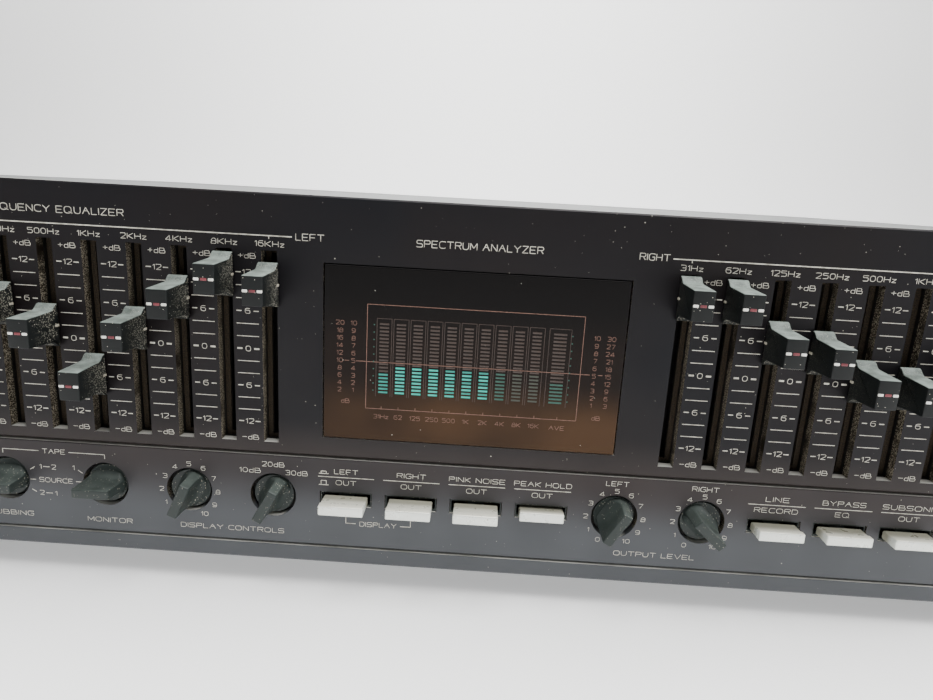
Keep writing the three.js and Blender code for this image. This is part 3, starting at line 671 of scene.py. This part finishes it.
PLUNGER = 12.6                               # behind the cap
BUTTON_X = {}
for name in BUTTONS:
    body = "button_" + name
    low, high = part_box(body)
    x, z = (low.x + high.x) / 2 / MM, (low.z + high.z) / 2 / MM
    front, end = low.y / MM - FACE, high.y / MM - FACE
    BUTTON_X[name] = x
    button_cap = moved(button_shell(front, end - PLUNGER), x, 0, z)
    piece(body + "_cap", [button_cap], ivory, body, [body])
    plunger = bar_shell(2.5, 0.8, end - PLUNGER - 0.5, end, 0.2)
    piece(body + "_plunger", [moved(plunger, x, 0, z)], black_plastic, body)
BUTTON_Z = z
button_frame = frame_shell(7.9, 2.2, 0.42, 0.5, 2.9)
piece("button_frames", [moved(button_frame, x, 0, BUTTON_Z) for x in BUTTON_X.values()], knob_plastic,
      "case")
print("buttons:", list(BUTTON_X))

# %% [markdown]
# ## Legends
# The real legends are set in a light, wide, square-cut face. A font could be turned into meshes, but a
# pen of even width drawn along a few straight strokes with rounded corners is closer, and has fewer
# faces. Each glyph is its strokes on a grid 8 units high. Only what a control does is printed.

# %% Pen strokes
INK = 0.03                                   # mm proud of the panel
GLYPHS = {
    "A": "0048 4880 2464", "B": "0008 08686404 64747000", "C": "777808007071", "D": "0008 08787000",
    "E": "0800 0070 0878 0464", "F": "0800 0878 0464", "G": "777808007074 7444", "H": "0008 7078 0474",
    "I": "0008", "K": "0008 7814 1470", "L": "0800 0060", "M": "0008 0842 4288 8880", "N": "0008 0870 7078",
    "O": "0008888000", "P": "0008 08787404", "Q": "0008888000 5290", "R": "0008 08787404 4470",
    "S": "7778080474700001", "T": "0888 4840", "U": "08007078", "V": "0840 4088",
    "W": "0820 2046 4660 6088", "Y": "0844 4488 4440", "Z": "0878 7800 0070",
    "d": "5850 50000555", "z": "0555 5500 0050", "+": "0464 3137", "-": "0464",
    "0": "0008686000", "1": "0628 2820", "2": "07086865 6500 0060", "3": "08686424 646000",
    "4": "5058 5802 0272", "5": "6808 0805 05656000", "6": "680800606505", "7": "0868 6820",
    "8": "01032454636150100001 14052848666454", "9": "006068080363",
}


def stroke(path, thickness):
    """A pen of a given width drawn along a path (x, z): the section is carried along the path, square to
    it. A path that ends where it starts is a loop."""
    looped = len(path) > 3 and np.allclose(path[0], path[-1])
    if looped:
        path = rounded(path[:-1], 1.5, 3)
        tangent = np.roll(path, -1, 0) - np.roll(path, 1, 0)
    else:
        if len(path) > 2:
            path = np.vstack([path[:1], rounded(path, 1.5, 3)[4:-4], path[-1:]])
        tangent = np.gradient(path, axis=0)
    tangent = tangent / np.linalg.norm(tangent, axis=1)[:, None]
    across = np.column_stack([-tangent[:, 1], tangent[:, 0]]) * thickness / 2
    flat = path[:, None] + across[:, None] * np.array([1, 1, -1, -1])[None, :, None]
    depth = np.broadcast_to(np.array([-INK, 0.02, 0.02, -INK]), flat.shape[:2])
    return skin(np.stack([flat[:, :, 0], depth, flat[:, :, 1]], 2), looped)


def letters(text, height, width=None):
    """A word as shells, centred on 0, with capitals of a given height and, if stated, a width in mm."""
    strokes, start = [], 0.0
    for letter in text:
        parts = [np.array([[int(p[i]), int(p[i + 1])] for i in range(0, len(p), 2)], float)
                 for p in GLYPHS.get(letter, "").split()]
        strokes += [part + (start, 0) for part in parts]
        start += 5 if not parts else max(part[:, 0].max() for part in parts) + 2.2
    pen = 0.085 * height + 0.01
    length = max(part[:, 0].max() for part in strokes)
    unit = (width - pen) / length if width else 0.142 * height
    size = np.array([unit, (height - pen) / 8])
    return together([stroke((part - (length / 2, 4)) * size, pen) for part in strokes])


def line(x0, z0, x1, z1, thickness=0.2):
    """A straight printed line."""
    return stroke(np.array([[x0, z0], [x1, z1]], float), thickness)


print("glyphs:", len(GLYPHS))

# %% [markdown]
# ## The sliders' scales
# Between two slots stands a scale from +12 to -12 dB, a line every 2 dB, with the 12s, 6s and the 0
# printed between short dashes. A hairline over each bank joins it to its channel's name.

# %% Scales of the banks
SLOT_TOP = 106.5
ZERO_Z = SLOT_TOP - 29.0
STEP_Z = 3.75                                # 2 dB
SMALL = 1.6                                  # capitals
LABELS = ["31Hz", "62Hz", "125Hz", "250Hz", "500Hz", "1KHz", "2KHz", "4KHz", "8KHz", "16KHz"]


def scale_shells(x):
    """One printed scale: signs at both ends, lines, and numbers between dashes."""
    made = [moved(letters("+dB", 1.55, 5.1), x + 0.1, 0, SLOT_TOP - 1.75),
            moved(letters("-dB", 1.55, 5.1), x + 0.1, 0, ZERO_Z - 27.6)]
    for step in range(-6, 7):
        z = ZERO_Z + step * STEP_Z
        if step % 3:
            made.append(line(x - 3.25, z, x + 3.25, z))
            continue
        number = str(abs(step) * 2)
        thickness = 0.28 if step else 0.5
        made.append(moved(letters(number, 1.65), x, 0, z))
        made += [line(x + s * 1.75, z, x + s * 3.25, z, thickness) for s in (-1, 1)]
    return made


for side in SIDES:
    xs = [SLIDERS[f"slider_{side}_{band}"][0] for band in BANDS]
    shells = [s for x in (np.array(xs[:-1]) + np.array(xs[1:])) / 2 for s in scale_shells(x)]
    shells += [moved(letters(label, SMALL + 0.05), x + 0.2, 0, SLOT_TOP + 1.9)
               for label, x in zip(LABELS, xs)]
    piece(f"scale_print_{side}", shells, cream_ink, "case")
print("scales printed, zero at z", ZERO_Z)

# %% Headings above the banks
HAIR_Z = 110.7
left_x = [SLIDERS[f"slider_left_{band}"][0] for band in BANDS]
right_x = [SLIDERS[f"slider_right_{band}"][0] for band in BANDS]
headings = [
    line(left_x[0] - 7, HAIR_Z, left_x[-1] + 6.6, HAIR_Z, 0.3),
    line(right_x[0] - 5.3, HAIR_Z, right_x[-1] + 7, HAIR_Z, 0.3),
    line(left_x[-1], HAIR_Z, left_x[-1], HAIR_Z - 0.9),
    line(right_x[0], HAIR_Z, right_x[0], HAIR_Z - 0.9),
    moved(letters("LEFT", 2.0, 8.2), -47.9, 0, HAIR_Z + 0.1),
    moved(letters("RIGHT", 2.0, 8.6), 49.2, 0, HAIR_Z + 0.2),
    moved(letters("FREQUENCY EQUALIZER", 2.0, 42.5), -122.1, 0, 114.7),
    moved(letters("SPECTRUM ANALYZER", 2.05, 35.8), 0.2, 0, 110.9),
]
piece("heading_print", headings, cream_ink, "case")
print("headings printed")

# %% [markdown]
# ## Legends of the lower strip
# Round each knob stand numbers or words, over each button two words with a line between: above it what
# the button does when it is in, below it when it is out.

# %% Knob legends
DIAL_RADIUS = 8.8


def dial(x, z):
    """Numbers 0 to 10 on a circle, 30 degrees apart, from 150 degrees left of the top."""
    made = []
    for number in range(11):
        q = math.radians(-150 + 30 * number)
        made.append(moved(letters(str(number), 1.5), x + 0.1 + DIAL_RADIUS * math.sin(q), 0,
                          z - 0.3 + DIAL_RADIUS * math.cos(q)))
    return made


def words(*items):
    """Words given as (text, x, z, width), 1.6 mm high."""
    return [moved(letters(text, SMALL, width), x, 0, z) for text, x, z, width in items]


knob_print = [s for name in ("display_level", "output_left", "output_right") for s in dial(*KNOBS[name])]
knob_print += words(
    ("LEFT", KNOBS["output_left"][0], 42.2, 7.0), ("RIGHT", KNOBS["output_right"][0], 42.2, 8.2),
    ("OUTPUT LEVEL", 59.6, 19.2, 25.0), ("DISPLAY CONTROLS", -72.4, 19.2, 32.7),
    ("10dB", -66.4, 39.1, 6.6), ("20dB", -59.2, 41.4, 6.9), ("30dB", -52.0, 39.0, 6.9),
    ("TAPE", -127.5, 41.0, 7.2), ("MONITOR", -111.3, 19.1, 14.3), ("DUBBING", -143.0, 19.6, 14.6),
    ("SOURCE", -127.5, 31.4, 10.6), ("1", -132.1, 35.8, 0.7), ("2", -127.9, 35.8, 1.4),
    ("2", -132.3, 27.0, 1.4), ("1", -127.9, 27.0, 0.7), ("1", -121.7, 36.0, 0.7), ("2", -122.2, 28.0, 1.4))
knob_print += [
    line(-143.5, 41.0, -132.2, 41.0), line(-122.8, 41.0, -111.6, 41.0),
    line(-143.5, 41.0, -143.5, 39.6), line(-111.6, 41.0, -111.6, 39.6),
    line(-131.2, 35.8, -129.2, 35.8), line(-131.0, 27.0, -129.0, 27.0),
    line(-135.6, 31.3, -133.9, 31.3), line(-121.2, 31.4, -119.4, 31.4),
    line(-135.4, 34.6, -133.9, 35.6), line(-135.4, 28.0, -134.0, 27.2),
    line(-120.3, 35.3, -118.9, 34.4), line(-120.7, 28.2, -119.2, 28.7),
]
piece("knob_print", knob_print, cream_ink, "case")
print("knob legends printed")

# %% Button legends
BUTTON_WORDS = {
    "power": ("POWER", "OFF", 10.0),
    "display_left": ("LEFT", "OUT", 7.4), "display_right": ("RIGHT", "OUT", 9.0),
    "pink_noise": ("PINK NOISE", "OUT", 17.2), "peak_hold": ("PEAK HOLD", "OUT", 17.6),
    "record": ("LINE", "RECORD", 7.2), "bypass": ("BYPASS", "EQ", 13.0),
    "subsonic": ("SUBSONIC", "OUT", 17.0),
}
LOWER_WIDTH = {"OUT": 6.4, "OFF": 6.4, "RECORD": 13.2, "EQ": 4.4}
RULE_Z, RULE_HALF = 38.5, 8.65               # the line between the two words
button_print = []
for name, (upper, lower, width) in BUTTON_WORDS.items():
    x = BUTTON_X[name]
    button_print.append(line(x - RULE_HALF, RULE_Z, x + RULE_HALF, RULE_Z))
    button_print += words((upper, x, RULE_Z + 1.85, width), (lower, x, RULE_Z - 1.75, LOWER_WIDTH[lower]))
# The two small signs for a button that is in and one that is out, as lines (x0, z0, x1, z1).
SIGNS = [(-8.4, 39.5, -5.4, 39.5), (-7.6, 40.3, -6.2, 40.3), (-7.7, 39.5, -7.7, 40.3),
         (-6.1, 39.5, -6.1, 40.3), (-8.4, 35.8, -5.4, 35.8), (-7.7, 37.2, -6.1, 37.2),
         (-7.7, 35.8, -7.7, 37.2), (-6.1, 35.8, -6.1, 37.2)]
x = BUTTON_X["display_left"]
button_print += [line(x + x0, z0, x + x1, z1, 0.22) for x0, z0, x1, z1 in SIGNS]
button_print += words(("DISPLAY", -26.5, 23.3, 11.6))
button_print += [line(-36.6, 25.5, -36.6, 23.3), line(-36.6, 23.3, -33.5, 23.3),
                 line(-19.6, 23.3, -16.4, 23.3), line(-16.4, 23.3, -16.4, 25.5)]
piece("button_print", button_print, cream_ink, "case")
print("button legends printed")

# %% [markdown]
# ## The display
# Print lies on the window. The segments belong to the tube behind it: 20 bars in each of ten columns
# and a wider one for the average. Seen from outside they seem to lie in the pane, so they are laid on it,
# which keeps them sharp. A lit bar glows; an unlit one glows faintly brown, painted light standing in
# for the lamp light it sends back.

# %% Print on the window
WINDOW_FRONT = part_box("display_window")[0].y / MM - FACE
COLUMNS = ["31Hz", "62", "125", "250", "500", "1K", "2K", "4K", "8K", "16K"]
FRAME_LEFT, FRAME_RIGHT, FRAME_TOP, FRAME_BOTTOM = -31.1, 31.5, 92.9, 61.5
ROW_TOP, ROW_STEP = 87.1, 2.25
COLUMN_X0, COLUMN_STEP, AVERAGE_X = -26.45, 5.06, 25.6
MID_Z = ROW_TOP - 5 * ROW_STEP


def small_words(items):
    """Words on the window, 1.35 mm high, given as (text, x, z), in a face a seventh narrower."""
    return [moved((points * (0.86, 1, 1), faces), x, 0, z)
            for text, x, z in items for points, faces in [letters(text, 1.35)]]


rows = [(i, ROW_TOP - i * ROW_STEP) for i in range(10)]
window_print = small_words([(str(20 - 2 * i), -39.0, z) for i, z in rows])
window_print += small_words([(str(10 - i), -35.0, z) for i, z in rows])
window_print += small_words([(str(10 - i), 35.5, z - 0.3) for i, z in rows])
window_print += small_words([(str(30 - 3 * i), 39.6, z - 0.3) for i, z in rows])
window_print += small_words([("dB", -37.2, 63.4), ("dB", 37.3, 62.7), ("AVE", AVERAGE_X + 0.4, 58.9)])
window_print += small_words([(label, COLUMN_X0 + i * COLUMN_STEP, 59.1) for i, label in enumerate(COLUMNS)])
thin = 0.16                                  # width of a line on the window
window_print += [line(FRAME_LEFT, z, FRAME_RIGHT, z, thin) for z in (FRAME_BOTTOM, FRAME_TOP)]
window_print += [line(x, FRAME_BOTTOM, x, FRAME_TOP, thin) for x in (FRAME_LEFT, FRAME_RIGHT)]
window_print += [line(x0, MID_Z, x1, MID_Z, thin) for x0, x1 in ((-34.2, 34.3), (-37.6, -36.2), (36.7, 38.0))]
window_print += [line(x, FRAME_BOTTOM, x, FRAME_BOTTOM + 0.8, thin)
                 for x in [COLUMN_X0 + i * COLUMN_STEP for i in range(10)] + [AVERAGE_X + 0.3]]
piece("window_print", [moved(s, y=WINDOW_FRONT) for s in window_print], brown_ink, "case")
print("window printed, middle line at z", round(MID_Z, 2))

# %% Segments
SEGMENT_Z0, SEGMENT_STEP, SEGMENTS = 66.71, 1.084, 20
BAR_X = [-26.07 + 4.917 * i for i in range(10)] + [24.86]
LIT = [6, 8, 8, 8, 8, 8, 8, 8, 8, 8, 6]
DRIVE = ["even", "bright", "bright", "bright", "bright", "bright", "bright", "dim", "faint", "faint", "dim"]
ON_PANE = WINDOW_FRONT - 0.05
AVERAGE = 10                                 # the last column, wider than the others
BAR_HALF, AVERAGE_HALF = 1.35, 1.9           # half widths of the bars
OUTLINE_HALF, AVERAGE_OUTLINE_HALF = 2.16, 3.14


def segment(x, z, half_width, half_height=0.27):
    """One bar of phosphor, 0.54 mm high and 0.05 mm proud, or a dot of another height."""
    return moved(bar_shell(half_width, half_height, ON_PANE, WINDOW_FRONT + 0.02, 0.02), x, 0, z)


groups = {key: [] for key in phosphors}
for column in range(11):
    half = AVERAGE_HALF if column == AVERAGE else BAR_HALF
    for row in range(SEGMENTS):
        # Bars past the lit ones take the brown painted glow of an undriven bar.
        drive = DRIVE[column] if row < LIT[column] else "off"
        if drive == "bright" and column > 3 and row % 3 == 1:
            drive = "even"
        groups[drive].append(segment(BAR_X[column], SEGMENT_Z0 + row * SEGMENT_STEP, half))
for dot_x in (-29.02, 28.39):
    groups["dim"] += [segment(dot_x, 67.2 + i * 2.198, 0.19, 0.17) for i in range(10)]
for key, shells in groups.items():
    piece("segments_" + key, shells, phosphors[key], "case")

outlines = []
for column in range(11):
    x = BAR_X[column]
    half = AVERAGE_OUTLINE_HALF if column == AVERAGE else OUTLINE_HALF
    top, bottom = SEGMENT_Z0 + SEGMENTS * SEGMENT_STEP + 0.5, SEGMENT_Z0 - 1.3
    outlines += [line(edge, bottom, edge, top, thin) for edge in (x - half, x + half)]
    outlines.append(line(x - half, top, x + half, top, thin))
sunk = WINDOW_FRONT + 0.015                  # outlines lie a little lower than the print
piece("column_outlines", [moved(s, y=sunk) for s in outlines], faint_ink, "case")
print("segments:", {key: len(shells) for key, shells in groups.items()})

# %% [markdown]
# ## Fixings at the back and sides
# Pan-head screws hold the cover and the rear panel, and each phono socket has a plated shell round a
# coloured ring. All are turned pieces.

# %% Screws, socket shells and inlet pins
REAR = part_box("rear_panel")[1].y / MM - FACE
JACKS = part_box("jack_block")[1].y / MM - FACE
JACK_X = [100 + (i - 2.5) * 16 for i in range(6)]


def screw_shell():
    """A pan head, 6 mm across and 1.5 mm high: a turned profile of radius and height, hollow in the
    middle."""
    r = np.array([3.0, 3.0, 2.85, 2.4, 1.6, 0.8, 0.5, 0.4])
    return skin(turned(r, np.array([-0.4, 0.3, 0.75, 1.2, 1.45, 1.5, 1.1, 0.9]), 24))


screw = screw_shell()
rear_screws = [moved(screw, x, REAR, z) for x in (-198, -60, 40, 198) for z in (16, 112)]
piece("rear_screws", rear_screws, zinc, "case")
side_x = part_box("top_cover")[1].x / MM
side_points = np.stack([screw[0][:, 1], screw[0][:, 0], screw[0][:, 2]], 1)
side_screws = [(side_points * (s, 1, 1) + (s * side_x, y, 20), screw[1])
               for s in (-1, 1) for y in (40, 225)]
piece("side_screws", side_screws, zinc, "case")


def socket_shell():
    """A plated sleeve: outer radius 4.2 mm, inner 3.3, with a chamfered lip."""
    radii = [3.3, 4.2, 4.2, 4.0, 3.4, 3.3]
    depths = [REAR + 0.4, REAR + 0.4, JACKS - 0.25, JACKS, JACKS, JACKS - 0.25]
    return skin(turned(radii, depths, 32), looped=True)


def insulator_shell():
    """The coloured ring between the sleeve and the bore."""
    radii = [1.75, 3.3, 3.3, 1.75]
    depths = [JACKS - 1.2, JACKS - 1.2, JACKS - 0.3, JACKS - 0.3]
    return skin(turned(radii, depths, 32), looped=True)


sleeves = [moved(socket_shell(), x, 0, z) for x in JACK_X for z in (52, 68)]
piece("socket_sleeves", sleeves, brass, "case")
for z, material, word in ((68, white_plastic, "white"), (52, red_plastic, "red")):
    piece(f"socket_rings_{word}", [moved(insulator_shell(), x, 0, z) for x in JACK_X], material, "case")
print("back and sides fitted")

# %% [markdown]
# ## Studio
# A pale floor with a sweep behind, a wide soft light overhead, which greys the tops of the caps together
# with the grey painted on them, a weaker one at the right, and one on the backdrop. The room itself is an
# even pale light.

# %% Floor and lights
def sweep():
    """A floor that curves up behind: a quarter circle of 0.8 m between two flats, carried along X."""
    q = np.linspace(0, math.pi / 2, 13)
    y = np.concatenate([[-2.5], 1.7 + 0.8 * np.sin(q), [2.5]])
    z = np.concatenate([[0.0], 0.8 * (1 - np.cos(q)), [3.0]])
    points = np.array([[x, b, c] for x in (-4.0, 4.0) for b, c in zip(y, z)])
    count = len(y)
    faces = [[i, i + count, i + count + 1, i + 1] for i in range(count - 1)]
    mesh = bpy.data.meshes.new("studio_floor")
    mesh.from_pydata(points.tolist(), [], faces)
    mesh.polygons.foreach_set("use_smooth", [True] * len(mesh.polygons))
    return bpy.data.objects.new("studio_floor", mesh)


PAPER_GLOW = 0.42                            # lifts the floor towards white
ROOM_LIGHT = 0.35
floor = sweep()
bpy.context.scene.collection.objects.link(floor)
paper, paper_tree, paper_shader, paper_place = finish("pale_paper", "#fbfbfa", 0.8)
grain(paper_tree, paper_shader, paper_place, 1.5, 0.01)
paper_shader.inputs["Emission Color"].default_value = linear("#ffffff")
paper_shader.inputs["Emission Strength"].default_value = PAPER_GLOW
floor.data.materials.append(paper)


def soft_light(name, place, target, size, power):
    """A square soft light that faces a target."""
    data = bpy.data.lights.new(name, "AREA")
    data.size, data.energy = size, power
    lamp = bpy.data.objects.new(name, data)
    lamp.location = place
    lamp.rotation_euler = (Vector(target) - Vector(place)).to_track_quat("-Z", "Y").to_euler()
    bpy.context.scene.collection.objects.link(lamp)


soft_light("overhead", (0.25, -0.15, 1.3), (0, -0.1, 0.06), 1.2, 46)
soft_light("right_side", (1.3, -0.35, 0.7), (0, -0.15, 0.07), 0.7, 10)
soft_light("backdrop", (0, 1.1, 1.7), (0, 2.4, 0.7), 1.2, 60)
world = bpy.data.worlds.new("room")
world.use_nodes = True
world.node_tree.nodes["Background"].inputs[0].default_value = (1, 1, 1, 1)
world.node_tree.nodes["Background"].inputs[1].default_value = ROOM_LIGHT
bpy.context.scene.world = world
print("studio ready")
